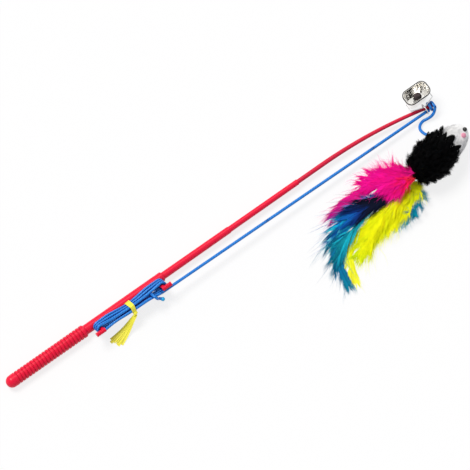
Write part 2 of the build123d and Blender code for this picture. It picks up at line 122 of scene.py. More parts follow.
# Mouse: its axis runs from the rear of the body to the head.
MOUSE_TURN = np.radians(9.0)
MOUSE_WAY = np.array([np.cos(MOUSE_TURN), np.sin(MOUSE_TURN), 0.0])
MOUSE_SIDE = np.array([-np.sin(MOUSE_TURN), np.cos(MOUSE_TURN), 0.0])
MOUSE_REAR = np.array([361.0, -61.0, 11.0])
# Each egg: middle along the axis, rear length, front length, radius, and drop under the axis.
BODY_EGG = (24.0, 24.0, 28.0, 17.0, 0.0)
HEAD_EGG = (46.0, 12.0, 23.0, 13.6, 2.6)
# How deep the skin lies under the fur's outline.
BODY_SKIN, HEAD_SKIN = 2.6, 0.7
# Thread at the tail: its reach behind the body, the bar's radius, and the thread's spacing and height.
THREAD_REACH, THREAD_RADIUS, THREAD_SPACING, THREAD_HEIGHT = (9.0, 0.3), 2.85, 0.8, 0.16

# Feathers: barbs cling together in locks of this many.
LOCK_BARBS = 14
# Dyes that the settings don't hold.
DYES = {
    "wine": "#7A0A30", "rust": "#F53A08", "rose": "#FF1560", "cerise": "#E5138F", "plum": "#C9168C",
    "olive": "#CBD81C", "lime": "#D6EE1A", "lemon": "#FDFB3A", "fern": "#2E7A45", "ice": "#7FDCEA",
    "sea": "#0B7E9C", "deep_sea": "#0C6C9E", "azure": "#0F7FBE", "aqua": "#22C4D6", "royal": "#0A388A",
}
# Each feather: its CAD node, slot and kind, what its plumes share, and its plumes. A plume's widths are halves,
# and its widths and shades run evenly along its shaft; plume_part says what the other values do.
FEATHERS = {
    "teal_fringe": ("feather_teal_fringe", "teal_feather", "down", {}, [
        dict(route=[(354.2, -64.4, 6.0), (362.5, -77.0, 2.4), (352.8, -82.6, 2.2), (342.3, -86.4, 1.4),
                    (332.1, -87.2, 0.2), (320.5, -86.6, -1.4)],
             widths=(2, 6.5, 8, 8, 6.5, 4), shades="fern sea sea teal", count=1700, angle=62, curl=0.05,
             puff=0.12, thick=0.12, stray=0.3, wild=0.4, gather=0.2)]),
    "yellow_long": ("feather_yellow_long", "yellow_feather", "vane", {}, [
        dict(route=[(352.2, -62.4, 9.0), (321.0, -71.3, 0.9), (300.6, -72.6, -2.1), (283.2, -75.1, -4.6),
                    (272.7, -86.0, -5.2), (267.7, -97.0, -5.3), (265.0, -106.5, -5.3)],
             widths=(0.6, 3, 6, 6.5, 5.6, 4.6, 2.6), shades="yellow yellow yellow lemon", count=2600, angle=20,
             curl=0.2, puff=0.06, thick=0.3, stray=0.2, wild=0.2)]),
    "yellow_marabou": ("feather_yellow_marabou", "yellow_feather", "down", dict(
        puff=0.07, thick=0.22, wild=0.4), [
        dict(route=[(352.2, -62.4, 9.0), (366.4, -71.3, 3.4), (348.7, -76.7, 3.1), (328.7, -80.5, 0.8),
                    (310.5, -82.5, -1.7), (295.1, -84.1, -3.9)],
             widths=(3, 5, 6, 7, 7, 5), shades="olive yellow yellow yellow lime", count=3000,
             angle=32, stray=0.36, wisps=0.3),
        dict(route=[(352.2, -62.4, 10.0), (364.2, -68.2, 5.6), (344.7, -70.4, 5.3), (323.3, -72.2, 2.3),
                    (303.3, -77.1, -0.8), (287.8, -82.0, -3.3)],
             widths=(3, 7, 8, 9, 8, 5), shades="olive yellow yellow yellow yellow", count=3400,
             angle=30, stray=0.32, wisps=0.15),
        dict(route=[(354.2, -63.4, 10.0), (356.9, -66.0, 7.1), (334.7, -68.8, 5.1), (313.3, -72.6, 1.8),
                    (296.2, -80.3, -1.6), (280.5, -90.0, -4.6)],
             widths=(2, 6, 9.5, 9.5, 7, 4), shades="rust yellow yellow yellow lime", count=3000,
             angle=26, stray=0.32, wisps=0.12)]),
    "pink_flat": ("feather_pink_flat", "pink_feather", "vane", {}, [
        dict(route=[(352.2, -61.4, 11.0), (351.1, -52.5, 7.5), (335.1, -47.0, 5.4), (317.5, -43.6, 2.9),
                    (300.2, -42.8, 0.4), (283.9, -45.2, -1.9)],
             widths=(0.5, 3, 5.5, 6, 5.5, 3.4), shades="pink pink cerise plum", count=2200, angle=20,
             curl=0.2, puff=0.06, thick=0.28, stray=0.2, wild=0.24, gather=0.4)]),
    "teal_long": ("feather_teal_long", "teal_feather", "vane", {}, [
        dict(route=[(352.2, -62.4, 11.0), (344.1, -59.1, 7.6), (324.0, -56.0, 4.5), (305.3, -54.1, 1.6),
                    (287.8, -56.6, -1.0), (273.0, -66.0, -3.5), (264.5, -79.0, -5.0), (260.0, -92.0, -5.3),
                    (257.3, -104.5, -5.3)],
             widths=(0.6, 3, 6, 8, 8, 7.5, 6, 4.6, 2.6), count=3200, angle=20, curl=0.18, puff=0.07,
             shades="navy navy blue blue blue sea deep_sea sea", thick=0.28, stray=0.3, wild=0.3, wisps=0.08,
             tones=(0.6, 1.4), gather=0.4),
        dict(route=[(344.1, -58.1, 7.6), (329.5, -54.7, 5.7), (309.9, -50.8, 2.6), (291.6, -51.5, -0.1),
                    (277.6, -57.0, -2.7), (267.5, -64.5, -4.6)],
             widths=(0.6, 3, 5, 5.5, 5.5, 4), shades="navy blue blue azure teal ice", count=2000, angle=28,
             curl=0.1, puff=0.09, thick=0.24, stray=0.35, wild=0.34, wisps=0.14, tones=(0.6, 1.5), gather=0.5),
        dict(route=[(344.1, -60.1, 7.6), (328.9, -61.5, 6.0), (310.4, -60.8, 3.1), (293.7, -63.9, 0.5),
                    (277.9, -70.1, -2.0), (263.9, -80.0, -4.0)],
             widths=(0.4, 3, 7, 7.5, 6.5, 3), shades="navy teal aqua teal sea", count=1700, angle=20,
             curl=0.18, puff=0.08, thick=0.24, stray=0.3, wild=0.3, tones=(0.6, 1.3), gather=0.4)]),
    "navy_vane": ("feather_navy", "navy_feather", "vane", {}, [
        dict(route=[(352.2, -62.4, 12.0), (348.0, -63.0, 9.4), (333.5, -61.5, 7.7), (321.7, -59.0, 5.9),
                    (308.9, -56.6, 3.9), (293.6, -55.4, 1.5)],
             widths=(0.6, 6, 10, 10, 7, 4), shades="navy navy navy navy royal blue", count=2200, angle=24,
             curl=0.2, puff=0.08, thick=0.27, stray=0.25, wild=0.2, gather=0.4)]),
    "pink_marabou": ("feather_pink_marabou", "pink_feather", "down", dict(
        puff=0.1, thick=0.2, wild=0.42), [
        dict(route=[(366.0, -57.5, 15.0), (361.0, -54.5, 14.6), (351.6, -48.8, 12.0), (339.9, -43.5, 8.5),
                    (323.4, -38.7, 6.2)],
             widths=(4, 7, 8, 8, 5), shades="wine pink pink pink", count=2700, angle=32, curl=0.12,
             stray=0.36, wisps=0.1),
        dict(route=[(366.0, -56.0, 12.5), (362.8, -54.7, 11.0), (355.2, -48.0, 9.6), (345.9, -42.0, 8.6),
                    (331.6, -35.8, 6.8)],
             widths=(3, 6, 8, 8, 5), shades="wine pink pink pink", count=1700, angle=40, curl=0.05,
             puff=0.12, thick=0.15, stray=0.5, wisps=0.2),
        dict(route=[(366.5, -60.0, 15.8), (361.0, -59.0, 15.7), (351.5, -56.0, 14.2), (342.0, -52.8, 11.2),
                    (332.5, -49.6, 9.0)],
             widths=(4, 7, 8, 7, 5), shades="wine pink pink pink", count=2500, angle=32, stray=0.32),
        dict(route=[(365.0, -63.0, 14.6), (360.5, -62.5, 15.6), (352.5, -61.6, 14.6), (345.0, -60.8, 12.0),
                    (337.5, -60.2, 9.6)],
             widths=(3, 6, 8, 7, 5), shades="rust rose pink pink", count=2700, angle=32, stray=0.3,
             wild=0.4)]),
}

# A part of a mesh: points in millimetres, faces by point number, UVs by face corner, and tints by point.
Part = namedtuple("Part", "verts quads tris uvs tints smooth")


def linear(code):
    """Linear colour with alpha 1 from an sRGB hex code."""
    value = np.array([int(code[i:i + 2], 16) for i in (1, 3, 5)]) / 255
    colour = np.where(value <= 0.04045, value / 12.92, ((value + 0.055) / 1.055) ** 2.4)
    return (*(float(channel) for channel in colour), 1.0)


def length_property(name, description, default):
    """A size in metres."""
    return bpy.props.FloatProperty(
        name=name, description=description, default=default, unit="LENGTH", precision=5
    )


def colour_property(name, description, code):
    """A colour from its sRGB hex code."""
    return bpy.props.FloatVectorProperty(
        name=name, description=description, default=linear(code), size=4, subtype="COLOR", min=0, max=1
    )


def count_property(name, description, default):
    """A number of strands."""
    return bpy.props.IntProperty(name=name, description=description, default=default, min=1)


class WandCordSettings(bpy.types.PropertyGroup):
    """Elastic cord and tie"""
    diameter: length_property("Cord diameter", "Across the braid of the elastic cord", CORD_DIAMETER)
    # The light and deep threads make the braid's stitches; the deep colour also fills the painted shade between
    # strands.
    light: colour_property("Light thread", "Braid threads that catch the light", "#2A92F2")
    deep: colour_property("Deep thread", "Braid threads and gaps in shade", "#041E8C")
    tie: colour_property("Tie", "Raffia tie round the hank", "#FFF648")


class WandPlasticSettings(bpy.types.PropertyGroup):
    """Moulded rod"""
    red: colour_property("Red", "Moulded colour of the handle and the rod", "#FA143E")
    red_deep: colour_property("Deep red", "Moulded colour of the thin tip", "#E41C42")


class WandMouseSettings(bpy.types.PropertyGroup):
    """Fur mouse"""
    body_hairs: count_property("Body hairs", "Strands of black fur", 10000)
    body_length: length_property("Body hair length", "Longest black hair", 0.0095)
    tuft_hairs: count_property("Tuft hairs", "Strands of the black locks over the neck", 1900)
    tuft_length: length_property("Tuft length", "Longest black hair over the neck", 0.013)
    head_hairs: count_property("Head hairs", "Strands of white fur", 10500)
    head_length: length_property("Head hair length", "Longest white hair", 0.0048)
    black: colour_property("Black fur", "Dyed fur of the body", "#040405")
    white: colour_property("White fur", "Bleached fur of the head", "#FFFFFF")


class WandFeatherSettings(bpy.types.PropertyGroup):
    """Dyed feathers"""
    pink: colour_property("Pink", "Dyed marabou and vane", "#FF1296")
    yellow: colour_property("Yellow", "Dyed marabou and vane", "#F8FF12")
    navy: colour_property("Navy", "Dark root of the blue vane", "#040A22")
    blue: colour_property("Blue", "Middle of the blue vane", "#0A60B2")
    teal: colour_property("Teal", "Tip of the blue vane and the fringe", "#12AEC6")


class WandStageSettings(bpy.types.PropertyGroup):
    """Floor, light and camera"""
    sky: bpy.props.FloatProperty(name="Sky", description="Strength of the even light", default=0.38, min=0)
    sun: bpy.props.FloatProperty(name="Sun", description="Strength of the soft key light", default=2.4, min=0)


def add_node(tree, kind, inputs=None, **settings):
    """Adds one shader node. Settings are its own attributes; inputs are values, sockets that feed it, or nodes
    whose first output in use feeds it."""
    node = tree.nodes.new("ShaderNode" + kind)
    for name, value in settings.items():
        setattr(node, name, value)
    for name, value in (inputs or {}).items():
        if isinstance(value, bpy.types.Node):
            value = next(socket for socket in value.outputs if socket.enabled)
        if isinstance(value, bpy.types.NodeSocket):
            tree.links.new(value, node.inputs[name])
        else:
            node.inputs[name].default_value = value
    return node


def empty_tree(owner):
    """Clears the nodes of a material or a world, and gives add_node for its tree."""
    owner.use_nodes = True
    owner.node_tree.nodes.clear()
    return partial(add_node, owner.node_tree)


def new_material(name):
    """An empty node material, and add_node for its tree."""
    material = bpy.data.materials.new(name)
    return material, empty_tree(material)


def finish_material(material, shader):
    """Joins a shader to the material's output."""
    add_node(material.node_tree, "OutputMaterial", {"Surface": shader})
    return material


def seen_rays(add):
    """1 for rays that show a background, straight, in gloss or through glass, and 0 for others."""
    path = add("LightPath").outputs
    seen = add("Math", {0: path["Is Camera Ray"], 1: path["Is Glossy Ray"]}, operation="MAXIMUM")
    return add("Math", {0: seen, 1: path["Is Transmission Ray"]}, operation="MAXIMUM")


def moulded_abs(name, colour, shade, groove_shade):
    """ABS, injection moulded: even dyed colour, satin gloss, a fine spark-eroded grain, and painted shade in
    grooves and gaps, where ambient occlusion darkens the colour."""
    material, add = new_material(name)
    place = add("TexCoord").outputs["Object"]
    # Flow marks about 14 mm long change the tone a little.
    flow = add("TexNoise", {"Vector": place, "Scale": 1 / (14 * MM), "Detail": 3.0})
    tone = add("Mix", {0: flow, 6: colour, 7: shade}, data_type="RGBA")
    # Painted shade in grooves and gaps under 2 mm wide, found by ambient occlusion.
    shade_occlusion = add("AmbientOcclusion", {"Distance": 2 * MM}, samples=6).outputs["AO"]
    unshaded_share = add("MapRange", {"Value": shade_occlusion, "From Min": 0.45, "From Max": 0.95})
    tone = add("Mix", {0: unshaded_share, 6: groove_shade, 7: tone}, data_type="RGBA")
    # The real grain is 0.1 mm; it is drawn at 0.5 mm so that it shows.
    grain = add("TexNoise", {"Vector": place, "Scale": 1 / (0.5 * MM), "Detail": 2.0})
    gloss = add("MapRange", {"Value": grain, "To Min": 0.26, "To Max": 0.42})
    bump = add("Bump", {"Height": grain, "Strength": 0.12, "Distance": 0.05 * MM})
    return finish_material(material, add("BsdfPrincipled", {
        "Base Color": tone, "Roughness": gloss, "IOR": 1.53, "Specular IOR Level": 0.22, "Normal": bump,
    }))


def braided_elastic(name, light, deep, diameter):
    """Braided polyester over rubber: short slanting stitches in a light and a deep thread, with painted shade in
    the deep colour between strands.
    """
    material, add = new_material(name)
    place = add("SeparateXYZ", {0: add("UVMap")}).outputs
    # The braid's stitches are 0.8 mm; they are drawn 1.9 mm long, four round the cord, so that they show.
    along = add("Math", {0: place["X"], 1: 1 / (1.9 * MM)}, operation="MULTIPLY")
    around = add("Math", {0: place["Y"], 1: 4.0}, operation="MULTIPLY")
    slants = [add("Math", {0: along, 1: around}, operation=sign) for sign in ("ADD", "SUBTRACT")]
    waves = [add("Math", {0: slant, 1: 0.5}, operation="PINGPONG") for slant in slants]
    stitch = add("Math", {0: waves[0], 1: waves[1]}, operation="ADD")
    tone = add("MapRange", {"Value": stitch, "From Min": 0.1, "From Max": 0.6})
    # Painted shade: where strands lie side by side, in gaps under 2 mm, ambient occlusion turns the colour to
    # the deep thread.
    shade_occlusion = add("AmbientOcclusion", {"Distance": 2 * MM}, samples=6).outputs["AO"]
    unshaded_share = add("MapRange", {"Value": shade_occlusion, "From Min": 0.5, "From Max": 0.98})
    share = add("Math", {0: tone, 1: unshaded_share}, operation="MULTIPLY")
    colour = add("Mix", {0: share, 6: deep, 7: light}, data_type="RGBA")
    bump = add("Bump", {"Height": stitch, "Strength": 0.3, "Distance": 0.04 * diameter})
    return finish_material(material, add("BsdfPrincipled", {
        "Base Color": colour, "Roughness": 0.3, "Specular IOR Level": 0.75,
        "Specular Tint": linear("#9CD2FF"), "Normal": bump,
    }))


def raffia(name, colour):
    """Paper raffia: matt yellow strips with long creases, and painted shade in olive along their folds."""
    material, add = new_material(name)
    # Creases run on for about 25 mm along a strip, five of them side by side round it.
    stretch = add("Mapping", {"Vector": add("UVMap"), "Scale": (1 / (25 * MM), 5.0, 1.0)})
    crease = add("TexNoise", {"Vector": stretch, "Scale": 1.0, "Detail": 3.0})
    tone = add("MapRange", {"Value": crease, "From Min": 0.28, "From Max": 0.42})
    # Painted shade: the colour turns olive along the creases' folds.
    blend = add("Mix", {0: tone, 6: linear("#857A12"), 7: colour}, data_type="RGBA")
    bump = add("Bump", {"Height": crease, "Strength": 0.4, "Distance": 0.2 * MM})
    return finish_material(material, add("BsdfPrincipled", {
        "Base Color": blend, "Roughness": 0.62, "Normal": bump,
    }))


def plated_metal(name, colour, dull, low, high):
    """Plated or drawn metal: bright, with a duller film in patches, and fine handling marks over which its
    roughness goes from low to high."""
    material, add = new_material(name)
    place = add("TexCoord").outputs["Object"]
    # Patches of film about 5 mm wide, and handling marks 0.6 mm wide.
    film = add("TexNoise", {"Vector": place, "Scale": 1 / (5 * MM), "Detail": 4.0})
    marks = add("TexNoise", {"Vector": place, "Scale": 1 / (0.6 * MM), "Detail": 3.0})
    tone = add("MapRange", {"Value": film, "From Min": 0.35, "From Max": 0.7})
    blend = add("Mix", {0: tone, 6: colour, 7: dull}, data_type="RGBA")
    gloss = add("MapRange", {"Value": marks, "To Min": low, "To Max": high})
    bump = add("Bump", {"Height": marks, "Strength": 0.04, "Distance": 0.05 * MM})
    return finish_material(material, add("BsdfPrincipled", {
        "Base Color": blend, "Metallic": 1.0, "Roughness": gloss, "Normal": bump,
    }))


def dyed_strands(name, roughness, sheen, gloss, uneven):
    """Dyed hair or feather: each strand has its own tint, with a soft sheen along it."""
    material, add = new_material(name)
    tint = add("Attribute", attribute_name="tint")
    place = add("TexCoord").outputs["Object"]
    # Uneven dye in patches about 3 mm wide.
    dye = add("TexNoise", {"Vector": place, "Scale": 1 / (3 * MM), "Detail": 2.0})
    shade = add("MapRange", {"Value": dye, "To Min": 1 - uneven, "To Max": 1 + uneven})
    colour = add("VectorMath", {0: tint, "Scale": shade}, operation="SCALE")
    return finish_material(material, add("BsdfPrincipled", {
        "Base Color": colour, "Roughness": roughness, "Sheen Weight": sheen, "Sheen Roughness": 0.5,
        "Specular IOR Level": gloss,
    }))


def bead_acrylic(name):
    """Acrylic bead: black through and through, polished, with one sharp highlight."""
    material, add = new_material(name)
    place = add("TexCoord").outputs["Object"]
    # Scuffs about 0.4 mm wide dull the polish a little.
    scuff = add("TexNoise", {"Vector": place, "Scale": 1 / (0.4 * MM), "Detail": 2.0})
    gloss = add("MapRange", {"Value": scuff, "To Min": 0.05, "To Max": 0.16})
    return finish_material(material, add("BsdfPrincipled", {
        "Base Color": linear("#07080A"), "Roughness": gloss, "IOR": 1.49,
    }))


def pressed_felt(name, colour, shade):
    """Pressed felt or wound thread: matt fibres with a mottled tone."""
    material, add = new_material(name)
    place = add("TexCoord").outputs["Object"]
    # Fibre tufts are drawn 0.7 mm wide.
    fibre = add("TexNoise", {"Vector": place, "Scale": 1 / (0.7 * MM), "Detail": 4.0})
    tone = add("Mix", {0: fibre, 6: shade, 7: colour}, data_type="RGBA")
    bump = add("Bump", {"Height": fibre, "Strength": 0.5, "Distance": 0.3 * MM})
    return finish_material(material, add("BsdfPrincipled", {
        "Base Color": tone, "Roughness": 0.85, "Sheen Weight": 0.3, "Normal": bump,
    }))


def unit(vectors):
    """Vectors divided by their own length."""
    return vectors / np.maximum(np.linalg.norm(vectors, axis=-1, keepdims=True), 1e-9)


def quad_corners(rows, columns):
    """The rows and the columns of each quad's corners on a grid: a point, the next in its row, and those two in
    the next row, backwards."""
    row, column = np.meshgrid(np.arange(rows), np.arange(columns), indexing="ij")
    row = np.stack([row, row, row + 1, row + 1], axis=-1).reshape(-1, 4)
    return row, np.stack([column, column + 1, column + 1, column], axis=-1).reshape(-1, 4)


def grid_part(points, wrap=True, along=None, tint=(1, 1, 1, 1), smooth=True):
    """Quads over a grid of points, each point joined to its neighbours in its row and in the next row.
    With wrap the last column joins the first, and each end row closes on its own mean point."""
    rows, columns = points.shape[:2]
    spans = columns if wrap else columns - 1
    row, column = quad_corners(rows - 1, spans)
    quads, tris = row * columns + column % columns, np.empty((0, 3), int)
    along = np.linspace(0, 1, rows) if along is None else along
    uvs = np.stack([along[row], column / spans], axis=-1).reshape(-1, 2)
    verts = points.reshape(-1, 3)
    if wrap:
        ring = np.arange(columns)
        after, last = (ring + 1) % columns, (rows - 1) * columns
        tris = np.vstack([
            np.stack([after, ring, np.full(columns, len(verts))], -1),
            np.stack([last + ring, last + after, np.full(columns, len(verts) + 1)], -1),
        ])
        verts = np.vstack([verts, points[0].mean(0), points[-1].mean(0)])
        around = np.repeat(ring / columns, 3)
        uvs = np.vstack([uvs] + [np.c_[np.full_like(around, end), around] for end in (along[0], along[-1])])
    return Part(verts, quads, tris, uvs, np.tile(tint, (len(verts), 1)).astype(float), smooth)


def strands_part(lines, widths, tints, outward):
    """Closed tapering strands. Each line of points carries three-cornered rings with a flat side turned
    outward, whose half width is given for each point, and ends in a point; one triangle closes the root."""
    count, steps = lines.shape[:2]
    rings = steps - 1
    tangent = unit(np.gradient(lines, axis=1))[:, :rings]
    side = unit(np.cross(outward[:, None] + 0.02 * PICTURE_RIGHT, tangent))
    over = np.cross(tangent, side)
    corner = np.array([(1.0, 0.0), (-1.0, 0.0), (0.0, -0.7)])
    ring = side[:, :, None] * corner[:, :1] + over[:, :, None] * corner[:, 1:]
    ring = lines[:, :rings, None] + ring * np.broadcast_to(widths, (count, rings))[:, :, None, None]
    each = rings * 3 + 1
    verts = np.concatenate([ring.reshape(count, -1, 3), lines[:, -1:]], axis=1).reshape(-1, 3)
    colour = np.concatenate([np.repeat(tints[:, :rings], 3, axis=1), tints[:, -1:]], axis=1).reshape(-1, 4)
    row, column = quad_corners(rings - 1, 3)
    last, end = (rings - 1) * 3, each - 1
    tip_and_root = np.array([(last, last + 1, end), (last + 1, last + 2, end), (last + 2, last, end), (2, 1, 0)])
    start = (np.arange(count) * each)[:, None, None]
    quads = (row * 3 + column % 3 + start).reshape(-1, 4)
    tris = (tip_and_root + start).reshape(-1, 3)
    return Part(verts, quads, tris, np.zeros((quads.size + tris.size, 2)), colour, False)


def add_piece(name, parts, material):
    """One mesh object from several parts, with its UV map and tints."""
    faces, start = [], 0
    for part in parts:
        faces += (part.quads + start).tolist() + (part.tris + start).tolist()
        start += len(part.verts)
    mesh = bpy.data.meshes.new(name)
    mesh.from_pydata(np.vstack([part.verts for part in parts]) * MM, [], faces)
    mesh.uv_layers.new(name="UVMap").data.foreach_set("uv", np.vstack([part.uvs for part in parts]).ravel())
    tint = mesh.attributes.new("tint", "FLOAT_COLOR", "POINT")
    tint.data.foreach_set("color", np.vstack([part.tints for part in parts]).ravel())
    smooth = np.concatenate([np.full(len(part.quads) + len(part.tris), part.smooth) for part in parts])
    mesh.polygons.foreach_set("use_smooth", smooth)
    mesh.materials.append(material)
    mesh.update()
    piece = bpy.data.objects.new(name, mesh)
    bpy.context.scene.collection.objects.link(piece)
    return piece


def stand_for(piece, node, body):
    """Puts a piece in its CAD solid's place, hiding the solid, on a body."""
    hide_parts(node)
    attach(piece, body)


def smooth_line(controls):
    """The smooth line of a route: a NURBS spline of order 3 with the route's points as its control
    points, read back from Blender as a row of points."""
    curve = bpy.data.curves.new("route", "CURVE")
    curve.dimensions = "3D"
    spline = curve.splines.new("NURBS")
    spline.points.add(len(controls) - 1)
    spline.points.foreach_set("co", np.c_[np.asarray(controls, float), np.ones(len(controls))].ravel())
    spline.order_u = 3
    spline.use_endpoint_u = True
    spline.resolution_u = SPLINE_STEPS
    carrier = bpy.data.objects.new("route", curve)
    mesh = bpy.data.meshes.new_from_object(carrier)
    points = np.empty(len(mesh.vertices) * 3)
    mesh.vertices.foreach_get("co", points)
    bpy.data.objects.remove(carrier)
    bpy.data.curves.remove(curve)
    bpy.data.meshes.remove(mesh)
    points = points.reshape(-1, 3)
    moved = np.linalg.norm(np.diff(points, axis=0), axis=1) > 1e-4
    return points[np.r_[True, moved]]


def distances(line):
    """Distance along a line at each of its points."""
    return np.r_[0.0, np.cumsum(np.linalg.norm(np.diff(line, axis=0), axis=1))]


def spaced(line, count):
    """The same line with a number of points at even distances."""
    far = distances(line)
    even = np.linspace(0, far[-1], count)
    return np.stack([np.interp(even, far, line[:, axis]) for axis in range(3)], axis=-1)


def tube_part(line, radius, reference, sides=14, tint=(1, 1, 1, 1)):
    """A tube round a line: at each point a ring of the radius stands square to the line, started
    square to the reference direction."""
    tangent = unit(np.gradient(line, axis=0))
    side = unit(np.cross(np.broadcast_to(reference, line.shape), tangent))
    over = np.cross(tangent, side)
    angle = np.arange(sides) * 2 * np.pi / sides
    reach = np.broadcast_to(radius, len(line))[:, None, None]
    ring = side[:, None] * np.cos(angle)[:, None] + over[:, None] * np.sin(angle)[:, None]
    return grid_part(line[:, None] + reach * ring, along=distances(line) * MM, tint=tint)


def hank_place(x, across, level):
    """A place on the hank: along the wand, across the cleats and out from the handle."""
    return np.array([x, 0.0, 0.0]) + POST_ACROSS * across + POST_OUT * level


def post_turn(post, way, level):
    """Half a turn round a post: six corners of the eight-sided figure drawn about the turn's circle. The
    way is 1 round the upper post's outer side and -1 round the lower one's."""
    r, side = POST_TURN, POST_TURN * np.tan(np.pi / 8)
    corners = (-side, -r), (side, -r), (r, -side), (r, side), (side, r), (-side, r)
    return [(post + way * x, way * y, level) for x, y in corners]


def hank_route():
    """The hank's points: the cut end, its half knot, then each turn runs up round the upper post, along
    the near side, round the lower post and back, a pitch further out each time."""
    upper, above, below, lower = HANK_PLACES
    route = STUB_WAY + [HANK_START]
    for turn in range(HANK_TURNS):
        low = HANK_FIRST + turn * HANK_PITCH
        top, near, far = low + HANK_RISE, HANK_NEAR[turn], HANK_FAR[turn]
        route += post_turn(POST_HIGH_X, 1, low) + [
            (upper, near, low + 0.2), (above, HANK_WAIST, top),
            (below, HANK_WAIST, top), (lower, near, low + 0.2),
        ] + post_turn(POST_LOW_X, -1, low) + [
            (lower, -far, low + 0.22 * HANK_PITCH), (below, -HANK_WAIST, top + 0.45 * HANK_PITCH),
            (above, -HANK_WAIST, top + 0.6 * HANK_PITCH), (upper, -far, low + HANK_PITCH - 0.2),
        ]
    return np.array([hank_place(*place) for place in route + [HANK_LEAVE]])


def mouse_place(along, across, up):
    """Places on the mouse: along its axis, towards its back and over the axis."""
    return MOUSE_REAR + along[..., None] * MOUSE_WAY + across[..., None] * MOUSE_SIDE + up[..., None] * UP


def egg_points(egg, share, turn, sunk):
    """Points and outward directions of an egg: its radius is that of an ellipse whose length differs
    before and behind the middle, and each point is sunk against its direction. The share runs from -1 at
    the rear to 1 at the front."""
    middle, rear, front, radius, drop = egg
    reach = np.where(share > 0, front, rear)
    thick = np.sqrt(np.maximum(0.0, 1 - share ** 2))
    out = unit(np.stack([share / reach, thick * np.cos(turn) / radius, thick * np.sin(turn) / radius], -1))
    along = middle + share * reach - sunk * out[..., 0]
    across = radius * thick * np.cos(turn) - sunk * out[..., 1]
    up = radius * thick * np.sin(turn) - drop - sunk * out[..., 2]
    direction = out[..., :1] * MOUSE_WAY + out[..., 1:2] * MOUSE_SIDE + out[..., 2:] * UP
    return mouse_place(along, across, up), direction


def egg_part(egg, tint, sunk):
    """The skin under the fur: an egg's grid of shares and turns, sunk under the fur's outline."""
    share = -np.cos(np.linspace(0.04, np.pi - 0.04, 40))[:, None]
    turn = np.linspace(0, 2 * np.pi, 64, endpoint=False)[None]
    points, _ = egg_points(egg, *np.broadcast_arrays(share, turn), sunk)
    # Flat where it rests on the table.
    points[..., 2] = np.maximum(points[..., 2], TABLE + 0.15)
    return grid_part(points, tint=tint)


def fur_part(egg, draw, tint, longest, comb, lift, limits, clumps, gather, spread, sunk, tones, guard):
    """Strands of fur on an egg, one for each tint. Each leaves its root between the outward direction and the
    comb direction, bends along the comb and gathers toward the tip of the nearest clump. The limits are the
    egg's shares that bear hair, lift is the outward direction's weight, and guard the share of longer hairs."""
    count = len(tint)
    share = draw.uniform(*limits, count)
    turn = draw.uniform(0, 2 * np.pi, count)
    # Roots start 0.4 mm inside the skin; hairs are 0.55 to 1 of the longest, and guard hairs 1.3 times that.
    root, out = egg_points(egg, share, turn, sunk + 0.4)
    long = longest * draw.uniform(0.55, 1.0, count)[:, None]
    long[draw.random(count) < guard] *= 1.3
    way = unit(out * lift + comb * (1 - lift) + draw.normal(0, spread, (count, 3)))
    tip = root + long * way
    heads = draw.choice(count, clumps, replace=False)
    nearest = np.argmin(((root[:, None] - root[heads][None]) ** 2).sum(-1), axis=1)
    tip += gather * (tip[heads][nearest] - tip)
    # Four points a hair, bowed outward by 0.22 of its length.
    step = np.array([0.0, 0.38, 0.72, 1.0])[None, :, None]
    bow = root[:, None] + long[:, None] * out[:, None] * 0.22 * np.sin(np.pi * step)
    lines = bow + step * (tip - root)[:, None]
    lines[..., 2] = np.maximum(lines[..., 2], TABLE + 0.2)
    tone = draw.uniform(*tones, (count, 1, 1)) + 0 * step
    tints = np.clip(np.concatenate([tint[:, None, :3] * tone, np.ones((count, 4, 1))], -1), 0, 1)
    return lines, tints, out


def short_of_cord(lines):
    """The barbs' places across the wand. The line that the cord keeps free, with the toy swung in, falls
    back by the swing's slope from the toy's pivot; barbs nearer to it than the margin bend aside, and the
    excess is drawn in by an exponential that never passes the line."""
    free = CORD_FREE_Y - CORD_FREE_SLOPE * (LURE_PIVOT_X - lines[..., 0])
    excess = np.maximum(lines[..., 1] - free + CORD_MARGIN, 0.0)
    return lines[..., 1] - excess + CORD_MARGIN * (1 - np.exp(-excess / CORD_MARGIN))


